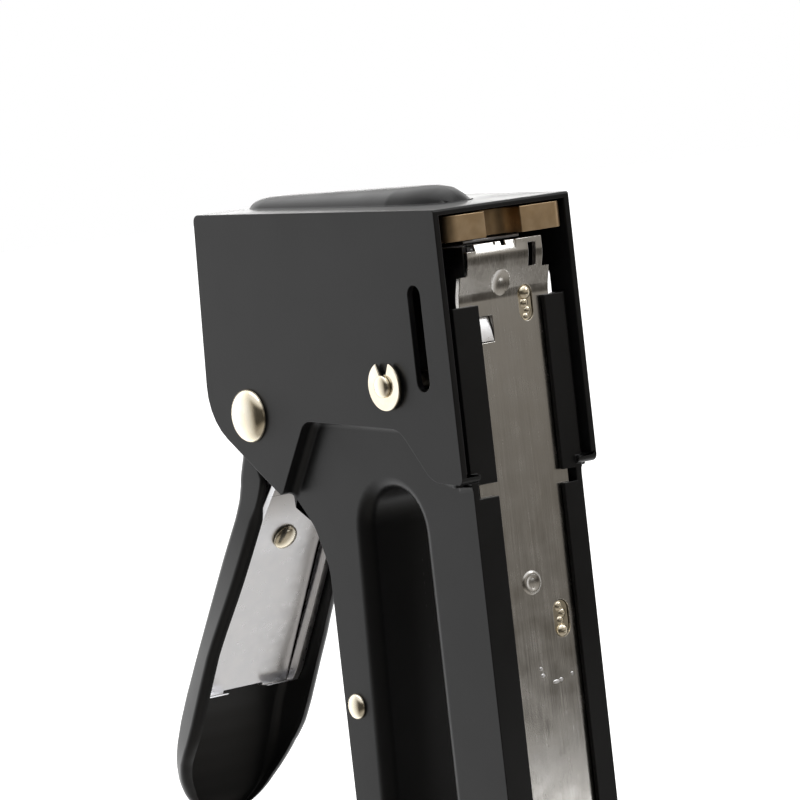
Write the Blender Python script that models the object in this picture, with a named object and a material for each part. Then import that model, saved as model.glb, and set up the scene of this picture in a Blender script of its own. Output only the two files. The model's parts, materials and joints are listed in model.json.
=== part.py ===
"""Light-duty staple gun (hand tacker), standing on its tail with the nose up.

Gun coordinates, in millimetres: X is 0 on the base flanges and negative towards the squeeze
lever, Y is the width with the right-hand side negative, Z runs from the tail (0) to the nose.
The frame empty moves gun coordinates so that the world origin is under the middle of the object.
"""

import math

import bmesh
import bpy
from mathutils import Vector

MM = 0.001
GAP = 0.3

# Overall sizes
LENGTH = 150.0
BASE_X = 1.0
LEVER_TIP_X = -100.6
ORIGIN_X = (BASE_X + LEVER_TIP_X) / 2
HEAD_HALF = 15.0
REAR_HALF = 12.1
SHEET = 1.2
FLANGE = 0.9
SEAM = GAP / 2

# Head
HEAD_BACK_X = -67.4
HEAD_BOTTOM = 103.4
FRONT_SLOPE = 1.8 / 67.4
HEAD_BEND = 1.6
REAR_BEND = 1.0
FLANGE_INNER = {-1: 6.6, 1: 7.9}
FLANGE_OUTER = 12.3
FLANGE_TOP = 133.0
REAR_FLANGE_TOP = 100.6
FOLD_DEPTH = 2.8
FOLD_BOTTOM = 102.9
WINDOW = (-6.65, 119.4, 137.5, 3.3)

# Hand slot
SLOT_BASE_X = -15.5
SLOT_TOP = 102.0
SLOT_BOTTOM = 18.0
SLOT_ROLL = 2.6

# Nose guide
GUIDE_SIDES = (-12.0, 13.5)
GUIDE_CORNER = 2.0
GUIDE_BACK_X = -12.0
GUIDE_RECESS = 7.8

# Mainspring line
SPRING_Z = 146.0
SPRING_RADIUS = 5.3
SPRING_WIRE = 0.65
SPRING_TURNS = 9
BULGE_CREST = 153.5
BULGE_HALF = 6.2
BULGE_START = -65.6
BULGE_END = -9.6
BULGE_STEPS = 9
SEAT_X = -65.0
SEAT_RADIUS = 5.8
SEAT_THICK = 1.2

# Lever
PIVOT = (-57.0, 115.6)
PIVOT_RADIUS = 2.6
COVER_HALF = 11.0
COVER_SHEET = 1.0
CORE_HALF = 9.6
CORE_SHEET = 1.3
CORE_END_Z = 56.0
CORE_BEND = 2.8
CORE_NOTCH = (3.7, 62.8)
TIP_ROUND = 11.5
TIP_STEPS = 6
FINGER_TIP = (-45.0, 135.4)
FINGER_RADIUS = 2.4
HANDLE_RIVET = (-73.4, 92.0)
WEB_HOLE_RADIUS = 1.9

# Plunger and driver
BLADE_Z = 143.6
BLADE_THICK = 0.5
BLADE_HALF = 6.2
PLUNGER_BACK = -49.9
PLUNGER_FACE = -31.0
PLUNGER_HALF = 7.4
POCKET_X = -36.0
LUG_X = -47.9
LUG_HALF = 11.2
BLADE_PIN_X = -33.5
BLADE_TIP_X = -2.8

# Magazine
STRIP_FACE = -1.1
STRIP_THICK = 1.0
STRIP_HALF = 9.9
STRIP_NOSE_HALF = 8.3
STRIP_EAR_TOP = 138.0
STRIP_TOP = 143.2
STRIP_NOSE_FACE = 0.5
LIP_LOW_Y = -6.2
LIP_HIGH_Y = 2.6
LIP_NOTCHES = [(-1.9, -1.5, 0.5), (-0.3, 0.7, 0.8)]
DIMPLE_CENTRE = (4.53, -0.8, 135.0)
DIMPLE_BALL = 5.7
CHANNEL_ROOF = -12.6
CHANNEL_HALF = 6.9
STAPLE_HALF = 5.65
STICK_TOP = 142.8
STICK_BOTTOM = 93.0
RAIL_HALF = 4.7
RAIL_ROOF = -10.4
RAIL_FOOT = -2.9
PUSHER_BOTTOM = 78.7
PUSHER_LENGTH = 14.0
ROD_X = -6.2
ROD_RADIUS = 1.0

# Pins and rivets
FRONT_PIN = (-16.4, 120.6)
FRONT_PIN_RADIUS = 1.95
PIN_END = 2.1
ARM_RIVET = (-39.0, 63.6)
TAIL_RIVET = (-44.5, 9.0)
RIVET_RADIUS = 1.3
SPACER_WALL = 0.9

MATERIALS = {
    "black_paint": ((0.022, 0.022, 0.024), 0.42, 0.0),
    "zinc_plate": ((0.72, 0.72, 0.75), 0.28, 1.0),
    "strip_steel": ((0.42, 0.40, 0.37), 0.36, 1.0),
    "bronze": ((0.45, 0.33, 0.19), 0.42, 1.0),
    "brass": ((0.83, 0.70, 0.42), 0.30, 1.0),
    "spring_steel": ((0.30, 0.30, 0.31), 0.35, 1.0),
    "rubber": ((0.03, 0.03, 0.03), 0.85, 0.0),
}


def material(name):
    """The Principled material of this name, made on first use."""
    found = bpy.data.materials.get(name)
    if found:
        return found
    colour, roughness, metallic = MATERIALS[name]
    made = bpy.data.materials.new(name)
    made.use_nodes = True
    shader = made.node_tree.nodes["Principled BSDF"]
    shader.inputs["Base Color"].default_value = (*colour, 1.0)
    shader.inputs["Roughness"].default_value = roughness
    shader.inputs["Metallic"].default_value = metallic
    return made


def empty(name, x, z, parent=None):
    """An empty at a gun position, which parents the pieces that move about it."""
    made = bpy.data.objects.new(name, None)
    bpy.context.scene.collection.objects.link(made)
    made.parent = parent
    made.location = Vector((x, 0.0, z)) * MM
    made["gun_place"] = (x, 0.0, z)
    return made


def finish(name, mesh_builder, paint, home, helper=False):
    """Turns a bmesh in gun millimetres into an object whose origin is its home empty."""
    place = Vector(home["gun_place"])
    for vertex in mesh_builder.verts:
        vertex.co = (vertex.co - place) * MM
    bmesh.ops.recalc_face_normals(mesh_builder, faces=mesh_builder.faces)
    mesh = bpy.data.meshes.new(name)
    mesh_builder.to_mesh(mesh)
    mesh_builder.free()
    mesh.materials.append(material(paint))
    mesh.shade_smooth()
    mesh.set_sharp_from_angle(angle=math.radians(32))
    made = bpy.data.objects.new(name, mesh)
    bpy.context.scene.collection.objects.link(made)
    made.parent = home
    if helper:
        made.hide_render = True
        made.display_type = "WIRE"
    return made


def rounded(corners, steps=5):
    """A closed outline from (x, z, radius) corners, each rounded by an arc."""
    outline = []
    count = len(corners)
    for i, (x, z, radius) in enumerate(corners):
        here = Vector((x, z))
        before = (Vector(corners[i - 1][:2]) - here).normalized()
        after = (Vector(corners[(i + 1) % count][:2]) - here).normalized()
        if not radius:
            outline.append(here)
            continue
        half = before.angle(after) / 2
        centre = here + (before + after).normalized() * (radius / math.sin(half))
        start = here + before * (radius / math.tan(half)) - centre
        end = here + after * (radius / math.tan(half)) - centre
        outline += [centre + spread(start, end, k / steps) for k in range(steps + 1)]
    return outline


def spread(start, end, share):
    """The point at this share of the short arc from start to end about the origin."""
    angle = start.angle_signed(end)
    turn = -angle * share
    return Vector(
        (
            start.x * math.cos(turn) - start.y * math.sin(turn),
            start.x * math.sin(turn) + start.y * math.cos(turn),
        )
    )


def smooth(points, steps=3):
    """An open Catmull-Rom curve through these (x, z) points."""
    ends = [Vector(points[0])] + [Vector(p) for p in points] + [Vector(points[-1])]
    curve = []
    for a, b, c, d in zip(ends, ends[1:], ends[2:], ends[3:]):
        for k in range(steps):
            t = k / steps
            curve.append(
                b
                + (c - a) * (0.5 * t)
                + (a * 2 - b * 5 + c * 4 - d) * (0.5 * t * t)
                + (b * 3 - a - c * 3 + d) * (0.5 * t * t * t)
            )
    curve.append(ends[-1])
    return curve


def shifted(curve, distance):
    """An open curve moved sideways, to the left of its direction for a positive distance."""
    moved = []
    for i, point in enumerate(curve):
        ahead = curve[min(i + 1, len(curve) - 1)] - curve[max(i - 1, 0)]
        moved.append(point + Vector((-ahead.y, ahead.x)).normalized() * distance)
    return moved


def grown(outline, distance):
    """A closed outline moved outwards by this distance."""
    count = len(outline)
    area = sum(
        outline[i - 1].x * outline[i].y - outline[i].x * outline[i - 1].y
        for i in range(count)
    )
    side = -distance if area > 0 else distance
    grown_outline = []
    for i, point in enumerate(outline):
        ahead = (outline[(i + 1) % count] - outline[i - 1]).normalized()
        grown_outline.append(point + Vector((-ahead.y, ahead.x)) * side)
    return grown_outline


def circle(x, z, radius, sides=20):
    turns = [2 * math.pi * k / sides for k in range(sides)]
    return [Vector((x + radius * math.cos(t), z + radius * math.sin(t))) for t in turns]


def stadium(x, low, high, width):
    half = width / 2
    return rounded(
        [(x - half, low, half), (x + half, low, half), (x + half, high, half), (x - half, high, half)]
    )


def loft(loops):
    """A closed bmesh through loops of equal length, with flat ends."""
    builder = bmesh.new()
    rings = [[builder.verts.new(point) for point in loop] for loop in loops]
    for lower, upper in zip(rings, rings[1:]):
        for i in range(len(lower)):
            builder.faces.new((lower[i - 1], lower[i], upper[i], upper[i - 1]))
    builder.faces.new(rings[0])
    builder.faces.new(list(reversed(rings[-1])))
    return builder


def slab(outline, low, high):
    """An XZ outline extruded along Y."""
    return loft([[Vector((p[0], y, p[1])) for p in outline] for y in (low, high)])


def bar(outline, low, high):
    """An XY outline extruded along Z."""
    return loft([[Vector((p[0], p[1], z)) for p in outline] for z in (low, high)])


def rod(outline, low, high):
    """A YZ outline extruded along X."""
    return loft([[Vector((x, p[0], p[1])) for p in outline] for x in (low, high)])


def block(x, y, z):
    """A box from pairs of limits."""
    outline = [(x[0], z[0]), (x[1], z[0]), (x[1], z[1]), (x[0], z[1])]
    return slab(outline, *y)


def soften(builder, wanted, radius, segments=2):
    """Rounds the sharp edges that the test picks by their middle point."""
    edges = [
        edge
        for edge in builder.edges
        if len(edge.link_faces) == 2
        and edge.calc_face_angle() > math.radians(40)
        and wanted((edge.verts[0].co + edge.verts[1].co) / 2)
    ]
    bmesh.ops.bevel(
        builder,
        geom=edges,
        offset=radius,
        segments=segments,
        affect="EDGES",
        profile=0.5,
        clamp_overlap=True,
    )
    return builder


def boolean(target, tools, operation):
    for tool in tools:
        step = target.modifiers.new(f"{operation.lower()} {tool.name}", "BOOLEAN")
        step.operation = operation
        step.object = tool
        step.solver = "EXACT"


def cut(target, *tools):
    boolean(target, tools, "DIFFERENCE")


def join(target, *tools):
    boolean(target, tools, "UNION")


class Workshop:
    """Makes pieces and their helpers on one home empty, in one material."""

    def __init__(self, home, paint):
        self.home = home
        self.paint = paint

    def piece(self, name, builder):
        return finish(name, builder, self.paint, self.home)

    def helper(self, name, builder):
        return finish(name, builder, self.paint, self.home, helper=True)


def turned(profile, axis, place, sides=20):
    """A turned solid from (along, radius) steps, about an axis through a gun position."""
    loops = []
    for along, radius in profile:
        loop = []
        for k in range(sides):
            turn = 2 * math.pi * k / sides
            across, up = radius * math.cos(turn), radius * math.sin(turn)
            if axis == "X":
                loop.append(Vector((along, place[0] + across, place[1] + up)))
            elif axis == "Y":
                loop.append(Vector((place[0] + across, along, place[1] + up)))
            else:
                loop.append(Vector((place[0] + across, place[1] + up, along)))
        loops.append(loop)
    return loft(loops)


def front_z(x):
    """The outer front wall's height: it rises slightly towards the lever."""
    return LENGTH - FRONT_SLOPE * x


def head_outline():
    return rounded(
        [
            (BASE_X, HEAD_BOTTOM, 1.2),
            (BASE_X, LENGTH, 0.5),
            (HEAD_BACK_X, front_z(HEAD_BACK_X), 1.3),
            (-69.6, 114.9, 11.0),
            (-50.3, 101.1, 0.8),
            (-41.4, 114.5, 3.0),
            (-14.9, 113.0, 5.0),
            (-7.2, 103.9, 5.0),
        ]
    )


def head_cavity_outline():
    inner_front = front_z(0) - SHEET
    return rounded(
        [
            (6.0, inner_front, 0),
            (-66.1, front_z(-66.1) - SHEET, 1.0),
            (-68.2, 118.0, 0),
            (-76.0, 118.0, 0),
            (-76.0, 101.0, 0),
            (-51.4, 101.7, 0),
            (-42.0, 115.8, 2.0),
            (-14.4, 114.2, 5.5),
            (-6.6, 105.2, 4.0),
            (6.0, 104.6, 0),
        ]
    )


def rear_outline():
    return rounded(
        [
            (0.0, 0.0, 0.8),
            (0.0, 106.0, 0),
            (-12.0, 116.5, 0),
            (-41.0, 118.0, 0),
            (-51.3, 102.9, 0),
            (-50.6, 101.1, 0),
            (-45.6, 95.3, 8.0),
            (-42.6, 88.0, 10.0),
            (-42.6, 25.0, 14.0),
            (-53.0, 6.5, 3.0),
            (-53.0, 0.0, 2.5),
        ]
    )


def rear_cavity_outline():
    return rounded(
        [
            (-FLANGE, SHEET, 0),
            (-FLANGE, 107.0, 0),
            (-13.0, 118.0, 0),
            (-42.5, 119.5, 0),
            (-53.2, 103.6, 0),
            (-50.1, 100.2, 0),
            (-44.4, 94.6, 7.0),
            (-41.4, 87.6, 9.0),
            (-41.4, 25.6, 14.0),
            (-51.8, 7.0, 2.0),
            (-51.8, SHEET, 1.3),
        ]
    )


def slot_outline():
    return rounded(
        [
            (SLOT_BASE_X, SLOT_BOTTOM, 8.5),
            (SLOT_BASE_X, SLOT_TOP, 7.4),
            (-30.9, SLOT_TOP, 7.4),
            (-34.3, SLOT_BOTTOM, 8.5),
        ],
        steps=8,
    )


def rolled_plug(side, extra, steps=5):
    """The hand slot as a plug that widens in a quarter round towards the side face."""
    face = REAR_HALF - extra
    outline = grown(slot_outline(), extra) if extra else slot_outline()
    levels = [(-1.0, 0.0), (face - SLOT_ROLL, 0.0)]
    for k in range(1, steps + 1):
        turn = math.pi / 2 * k / steps
        levels.append((face - SLOT_ROLL * (1 - math.sin(turn)), SLOT_ROLL * (1 - math.cos(turn))))
    levels.append((REAR_HALF + 1.0, SLOT_ROLL + 0.05))
    loops = []
    for depth, offset in levels:
        ring = grown(outline, offset) if offset else outline
        loops.append([Vector((p.x, side * depth, p.y)) for p in ring])
    return loft(loops)


def bulge(side, shrink):
    """Half of the spring bulge: a long ridge on the front wall, rounded at both ends.

    A station is (distance from an end, share of the height, share of the width).
    """
    lever_end = [(0.0, 0.55, 0.35), (0.6, 0.82, 0.6), (1.8, 0.96, 0.82), (3.6, 1.0, 0.95), (6.0, 1.0, 1.0)]
    nose_end = [
        (14.0, 1.0, 1.0),
        (13.2, 1.0, 0.97),
        (10.0, 1.0, 0.92),
        (7.0, 0.97, 0.84),
        (4.2, 0.86, 0.72),
        (2.0, 0.62, 0.56),
        (0.7, 0.32, 0.42),
        (0.0, 0.0, 0.3),
    ]
    stations = [(BULGE_START + shrink + along, *shares) for along, *shares in lever_end]
    stations += [(BULGE_END - shrink - along, *shares) for along, *shares in nose_end]
    half = BULGE_HALF - shrink
    crest = BULGE_CREST - shrink
    floor = LENGTH - 4.0
    seam = SEAM if not shrink else -1.0
    turns = [math.pi / 2 * k / BULGE_STEPS for k in range(BULGE_STEPS + 1)]
    loops = []
    for x, height, width in stations:
        base = front_z(x) - 0.6 - shrink
        top = base + 0.2 + (crest - base - 0.2) * height
        reach = half * width
        loop = [Vector((x, side * seam, floor))]
        loop += [
            Vector((x, side * (seam + (reach - seam) * math.sin(t)), base + (top - base) * math.cos(t)))
            for t in turns
        ]
        loop.append(Vector((x, side * reach, floor)))
        loops.append(loop)
    return loft(loops)


def base_fold(side):
    """The head's base flange and the groove beside it, as a folded strip."""
    outline = [
        (0.0, side * FLANGE_INNER[side]),
        (0.0, side * FLANGE_OUTER),
        (FLANGE - FOLD_DEPTH + 0.3, side * FLANGE_OUTER),
        (FLANGE - FOLD_DEPTH + 0.3, side * (HEAD_HALF - SHEET / 2)),
        (-FOLD_DEPTH, side * (HEAD_HALF - SHEET / 2)),
        (-FOLD_DEPTH, side * (FLANGE_OUTER - 1.0)),
        (-FLANGE, side * (FLANGE_OUTER - 1.0)),
        (-FLANGE, side * FLANGE_INNER[side]),
    ]
    return bar(outline, FOLD_BOTTOM, FLANGE_TOP)


def casing(name, side, home):
    """One pressed half shell: raised head, inset rear body, bulge, flanges and hand slot."""
    shop = Workshop(home, "black_paint")
    tag = name.split("_")[0]

    def across(low, high):
        return sorted((side * low, side * high))

    head = slab(head_outline(), *across(SEAM, HEAD_HALF))
    soften(
        head,
        lambda m: abs(abs(m.y) - HEAD_HALF) < 0.01 and m.x < BASE_X - 0.6,
        HEAD_BEND,
        segments=4,
    )
    shell = shop.piece(name, head)
    rear = slab(rear_outline(), *across(SEAM, REAR_HALF))
    soften(rear, lambda m: abs(abs(m.y) - REAR_HALF) < 0.01 and m.z < 100.0, REAR_BEND, segments=3)
    rear_body = shop.helper(f"{tag}_rear_body", rear)
    ridge = shop.helper(f"{tag}_bulge", bulge(side, 0.0))
    join(shell, rear_body, ridge)

    rear_hollow = shop.helper(
        f"{tag}_rear_hollow", slab(rear_cavity_outline(), *across(-1.0, REAR_HALF - SHEET))
    )
    cut(rear_hollow, shop.helper(f"{tag}_tunnel", rolled_plug(side, SHEET)))
    cutters = [
        ("head_hollow", slab(head_cavity_outline(), *across(-1.0, HEAD_HALF - SHEET))),
        ("bulge_hollow", bulge(side, SHEET)),
        ("seat_pocket", rod(circle(0.0, SPRING_Z, SEAT_RADIUS + GAP, 28), SEAT_X - GAP, SEAT_X + 5.0)),
        ("hand_slot", rolled_plug(side, 0.0)),
        ("base_opening", block((-2.0, 6.0), across(-1.0, FLANGE_INNER[side]), (-3.0, 110.0))),
        (
            "flange_gap",
            block((-2.0, 6.0), across(-1.0, REAR_HALF - SHEET), (REAR_FLANGE_TOP, 107.0)),
        ),
        ("drawer_opening", block((-12.9, 0.0 - FLANGE), across(-1.0, 9.7), (-3.0, 3.0))),
        ("wing_notch", block((-12.2, -3.6), across(9.0, 16.0), (-3.0, 10.2))),
        ("window", slab(stadium(WINDOW[0], WINDOW[1], WINDOW[2], WINDOW[3]), *across(13.0, 17.0))),
        ("pivot_hole", slab(circle(*PIVOT, PIVOT_RADIUS + GAP), *across(10.0, 17.0))),
        ("pin_hole", slab(circle(*FRONT_PIN, FRONT_PIN_RADIUS + GAP, 16), *across(10.0, 17.0))),
        ("arm_hole", slab(circle(*ARM_RIVET, RIVET_RADIUS + 0.2, 12), *across(9.0, 14.0))),
        ("tail_hole", slab(circle(*TAIL_RIVET, RIVET_RADIUS + 0.2, 12), *across(9.0, 14.0))),
    ]
    cut(shell, rear_hollow, *[shop.helper(f"{tag}_{part}", shape) for part, shape in cutters])
    join(shell, shop.helper(f"{tag}_base_fold", base_fold(side)))
    return shell


def nose_guide(home):
    """Bar across the nose above the driver slot, with rounded ends and a hollow in its middle."""
    shop = Workshop(home, "bronze")
    low, high = BLADE_Z + BLADE_THICK / 2 + GAP, LENGTH - SHEET - 0.2
    right, left = GUIDE_SIDES
    outline = rounded(
        [
            (GUIDE_BACK_X, right, 0),
            (BASE_X - 0.1, right, GUIDE_CORNER),
            (BASE_X - 0.1, left, GUIDE_CORNER),
            (GUIDE_BACK_X, left, 0),
        ]
    )
    guide = shop.piece("nose_guide", bar(outline, low, high))
    half = GUIDE_RECESS / 2
    hollow = rounded([(-half, -half, 0.8 * half), (-half, half, 0.8 * half), (4.0, half, 0), (4.0, -half, 0)])
    cut(guide, shop.helper("guide_recess", bar(hollow, low - 2, high + 2)))


def magazine_base(home):
    """The bright strip: flat tongue between the flanges, ears, and a front end set forward."""
    shop = Workshop(home, "strip_steel")
    back = STRIP_FACE - STRIP_THICK
    set_forward = smooth(
        [
            (STRIP_FACE, STRIP_EAR_TOP - 4.6),
            (STRIP_FACE + 0.2, STRIP_EAR_TOP - 3.0),
            (STRIP_NOSE_FACE - 0.2, STRIP_EAR_TOP + 1.6),
            (STRIP_NOSE_FACE, STRIP_EAR_TOP + 3.2),
        ],
        steps=2,
    )
    side_view = [
        Vector((STRIP_FACE, 2.2)),
        *set_forward,
        Vector((STRIP_NOSE_FACE, STRIP_TOP)),
        Vector((STRIP_NOSE_FACE - STRIP_THICK, STRIP_TOP)),
        *[p - Vector((STRIP_THICK, 0.0)) for p in reversed(set_forward)],
        Vector((back, 2.2)),
    ]
    strip = shop.piece("magazine_base", slab(side_view, -STRIP_HALF, STRIP_HALF))
    above = STRIP_TOP + 1.0
    cutters = []
    for side, tag in ((-1, "right"), (1, "left")):
        shoulder = block(
            (-5.0, 5.0),
            sorted((side * STRIP_NOSE_HALF, side * 14.0)),
            (STRIP_EAR_TOP, LENGTH),
        )
        cutters.append((f"shoulder_{tag}", shoulder))
    for i, (low_y, high_y, depth) in enumerate(LIP_NOTCHES):
        cutters.append((f"notch_{i}", block((-2.0, 4.0), (low_y, high_y), (STRIP_TOP - depth, above))))
    lip = [(STRIP_NOSE_FACE + 0.3, STRIP_TOP - 2.6), (STRIP_NOSE_FACE + 0.3, above), (-0.5, above)]
    cutters += [
        ("lip", slab(lip, LIP_LOW_Y, LIP_HIGH_Y)),
        ("near_corner", block((-2.0, 4.0), (-10.0, LIP_LOW_Y), (STRIP_TOP - 1.1, above))),
        ("edge_slot", block((-3.0, 4.0), (5.2, 6.8), (138.3, 142.3))),
        ("square_hole", block((-4.0, 2.0), (-6.3, -3.0), (126.4, 130.9))),
        ("front_slot", rod(stadium(4.6, 129.0, 135.2, 3.1), -4.0, 2.0)),
        ("rear_slot", rod(stadium(4.9, 74.4, 80.9, 3.4), -4.0, 2.0)),
        ("dimple", strip_dimple()),
    ]
    cut(strip, *[shop.helper(f"strip_{part}", shape) for part, shape in cutters])


def strip_dimple():
    """A cutter for the shallow dish pressed into the strip's set-forward end."""
    x, y, z = DIMPLE_CENTRE
    turns = [math.radians(0.5 + 5.0 * k) for k in range(10)]
    profile = [(x - DIMPLE_BALL * math.cos(t), DIMPLE_BALL * math.sin(t)) for t in turns]
    return turned(profile, "X", (y, z), 28)


def staple_channel(home):
    """The guide channel that keeps the staples under the roof and against the strip."""
    shop = Workshop(home, "spring_steel")
    foot = STRIP_FACE - STRIP_THICK - GAP
    low, high = 4.0, 142.9
    channel = shop.piece(
        "staple_channel", block((CHANNEL_ROOF, foot), (-CHANNEL_HALF, CHANNEL_HALF), (low, high))
    )
    inner = CHANNEL_HALF - 0.8
    hollow = shop.helper(
        "channel_hollow", block((CHANNEL_ROOF + 0.7, 2.0), (-inner, inner), (low - 2, high + 2))
    )
    cut(channel, hollow)


def staple_stick(home):
    """The strip of staples: a thin channel of crowns and legs."""
    shop = Workshop(home, "zinc_plate")
    crown = CHANNEL_ROOF + 1.0
    stick = shop.piece(
        "staple_stick",
        block((crown, -2.6), (-STAPLE_HALF, STAPLE_HALF), (STICK_BOTTOM, STICK_TOP)),
    )
    inner = STAPLE_HALF - 0.6
    hollow = shop.helper(
        "stick_hollow",
        block((crown + 0.6, 2.0), (-inner, inner), (STICK_BOTTOM - 2, STICK_TOP + 2)),
    )
    cut(stick, hollow)


def spring_seat(home):
    shop = Workshop(home, "zinc_plate")
    profile = [
        (SEAT_X, SEAT_RADIUS),
        (SEAT_X + SEAT_THICK, SEAT_RADIUS),
        (SEAT_X + SEAT_THICK, 3.9),
        (SEAT_X + 5.0, 3.4),
    ]
    shop.piece("spring_seat", turned(profile, "X", (0.0, SPRING_Z)))


def bumper(home):
    """Rubber block between the plunger and the staple channel."""
    shop = Workshop(home, "rubber")
    builder = block(
        (PLUNGER_FACE + GAP, CHANNEL_ROOF - GAP), (-6.4, 6.4), (136.5, BLADE_Z - BLADE_THICK / 2 - GAP)
    )
    soften(builder, lambda m: True, 0.8, 1)
    shop.piece("bumper", builder)


def rivet(name, place, half, radius, head, home, rise=1.1, paint="brass", sides=18):
    """A rivet across the gun, with a domed head on each side."""
    profile = []
    for share in (0.2, 0.45, 0.68, 0.86, 1.0):
        height = rise * math.sqrt(1 - (0.97 * share) ** 2)
        profile.append((-half - height, head * share))
    profile.append((-half, head))
    profile.append((-half, radius))
    profile += [(-along, size) for along, size in reversed(profile)]
    shop = Workshop(home, paint)
    return shop.piece(name, turned(profile, "Y", place, sides))


def spacer(name, place, low, high, inner, outer, home, paint="zinc_plate"):
    """A sleeve across the gun."""
    shop = Workshop(home, paint)
    sleeve = shop.piece(name, slab(circle(*place, outer, 18), low, high))
    bore = shop.helper(f"{name}_bore", slab(circle(*place, inner, 18), low - 1, high + 1))
    cut(sleeve, bore)


def front_pin(home):
    """Cross pin with a domed head on the left and a clip groove on the right."""
    shop = Workshop(home, "brass")
    radius = FRONT_PIN_RADIUS
    face = -HEAD_HALF
    profile = [
        (face - PIN_END, 0.8),
        (face - PIN_END + 0.15, 1.4),
        (face - PIN_END + 0.55, radius),
        (face - 1.15, radius),
        (face - 1.15, radius - 0.6),
        (face - 0.2, radius - 0.6),
        (face - 0.2, radius),
        (HEAD_HALF + 0.15, radius),
        (HEAD_HALF + 0.15, 4.0),
        (HEAD_HALF + 0.5, 4.0),
        (HEAD_HALF + 1.1, 3.0),
        (HEAD_HALF + 1.4, 1.2),
    ]
    shop.piece("front_pin", turned(profile, "Y", FRONT_PIN, 16))


def front_pin_clip(home):
    """Open retaining ring in the pin's groove, with its mouth towards the nose."""
    shop = Workshop(home, "brass")
    outer, inner, mouth = 4.3, FRONT_PIN_RADIUS - 0.45, 0.42
    turns = [math.pi / 2 + mouth + (2 * math.pi - 2 * mouth) * k / 16 for k in range(17)]
    x, z = FRONT_PIN
    outline = [Vector((x + outer * math.cos(t), z + outer * math.sin(t))) for t in turns]
    outline += [Vector((x + inner * math.cos(t), z + inner * math.sin(t))) for t in reversed(turns)]
    shop.piece("front_pin_clip", slab(outline, -HEAD_HALF - 1.0, -HEAD_HALF - 0.35))


def coil(name, paint, home, radius, wire, turns, start, end, axis, place, points=10):
    """A round-wire coil spring, as a curve with a round bevel."""
    count = turns * points
    route = []
    for k in range(count + 1):
        turn = 2 * math.pi * k / points
        along = start + (end - start) * k / count
        across, up = radius * math.cos(turn), radius * math.sin(turn)
        if axis == "X":
            route.append(Vector((along, place[0] + across, place[1] + up)))
        elif axis == "Y":
            route.append(Vector((place[0] + across, along, place[1] + up)))
        else:
            route.append(Vector((place[0] + across, place[1] + up, along)))
    return wire_piece(name, paint, home, route, wire)


def wire_piece(name, paint, home, route, wire):
    """A wire along this route of gun positions."""
    place = Vector(home["gun_place"])
    curve = bpy.data.curves.new(name, "CURVE")
    curve.dimensions = "3D"
    curve.bevel_depth = wire * MM
    curve.bevel_resolution = 1
    curve.use_fill_caps = True
    spline = curve.splines.new("POLY")
    spline.points.add(len(route) - 1)
    for point, position in zip(spline.points, route):
        point.co = (*((position - place) * MM), 1.0)
    curve.materials.append(material(paint))
    made = bpy.data.objects.new(name, curve)
    bpy.context.scene.collection.objects.link(made)
    made.parent = home
    return made


def return_spring(home):
    """Torsion spring round the pivot pin: one leg on the casing's front, one on the lever's web."""
    radius, wire, points = 4.0, 0.5, 10
    x, z = PIVOT
    width = 5.0
    route = [Vector((x + 6.0, -width / 2 - 0.6, z + 14.0))]
    count = 3 * points + 4
    for k in range(count + 1):
        turn = -0.2 + 2 * math.pi * k / points
        route.append(
            Vector((x + radius * math.cos(turn), -width / 2 + width * k / count, z + radius * math.sin(turn)))
        )
    route.append(Vector((x - 7.0, width / 2 + 0.6, z - 12.0)))
    wire_piece("return_spring", "spring_steel", home, route, wire)


def web_curve():
    """The lever's outer back, from its upper end to its tip."""
    return smooth(
        [
            (-65.6, 116.5),
            (-67.3, 108.0),
            (-69.2, 99.6),
            (-76.2, 88.7),
            (-85.7, 73.6),
            (-95.1, 58.2),
            (-99.3, 46.8),
            (-100.5, 38.2),
        ]
    )


def free_edge():
    """The lever walls' free edge, from the tip back to the upper end."""
    return smooth(
        [
            (-99.9, 38.6),
            (-96.2, 45.6),
            (-88.8, 54.2),
            (-82.2, 65.5),
            (-77.2, 74.0),
            (-70.0, 85.0),
            (-62.0, 98.7),
            (-59.6, 103.5),
        ]
    )


def handle_cover(home):
    """The black channel that the hand squeezes."""
    shop = Workshop(home, "black_paint")
    web = web_curve()
    body = slab(web + free_edge() + [Vector((-62.6, 109.0))], -COVER_HALF, COVER_HALF)
    soften(
        body,
        lambda m: abs(abs(m.y) - COVER_HALF) < 0.01 and near_curve(m, web),
        2.0,
    )
    cover = shop.piece("handle_cover", body)
    inner = shifted(web, COVER_SHEET)
    hollow = slab(
        [Vector((-65.0, 125.0)), *inner, Vector((-99.0, 36.0)), Vector((-50.0, 36.0)), Vector((-50.0, 125.0))],
        -COVER_HALF + COVER_SHEET,
        COVER_HALF - COVER_SHEET,
    )
    soften(
        hollow,
        lambda m: abs(abs(m.y) - COVER_HALF + COVER_SHEET) < 0.01 and near_curve(m, inner),
        1.2,
    )
    corners = [
        shop.helper(f"tip_corner_{tag}", rod(tip_corner(side), LEVER_TIP_X - 5.0, LEVER_TIP_X + 20.0))
        for side, tag in ((-1, "right"), (1, "left"))
    ]
    cut(cover, shop.helper("cover_hollow", hollow), web_hole("cover_rivet_hole", shop), *corners)


def tip_corner(side):
    """What is outside the cover's rounded tip on one side, as a YZ outline."""
    low = web_curve()[-1].y - 0.5
    turns = [math.pi / 2 * k / TIP_STEPS for k in range(TIP_STEPS + 1)]
    arc = [
        (side * COVER_HALF * math.cos(t), low + TIP_ROUND * (1 - math.sin(t)))
        for t in turns
    ]
    return [(side * (COVER_HALF + 2), low + TIP_ROUND), *arc, (0.0, low - 2), (side * (COVER_HALF + 2), low - 2)]


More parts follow.
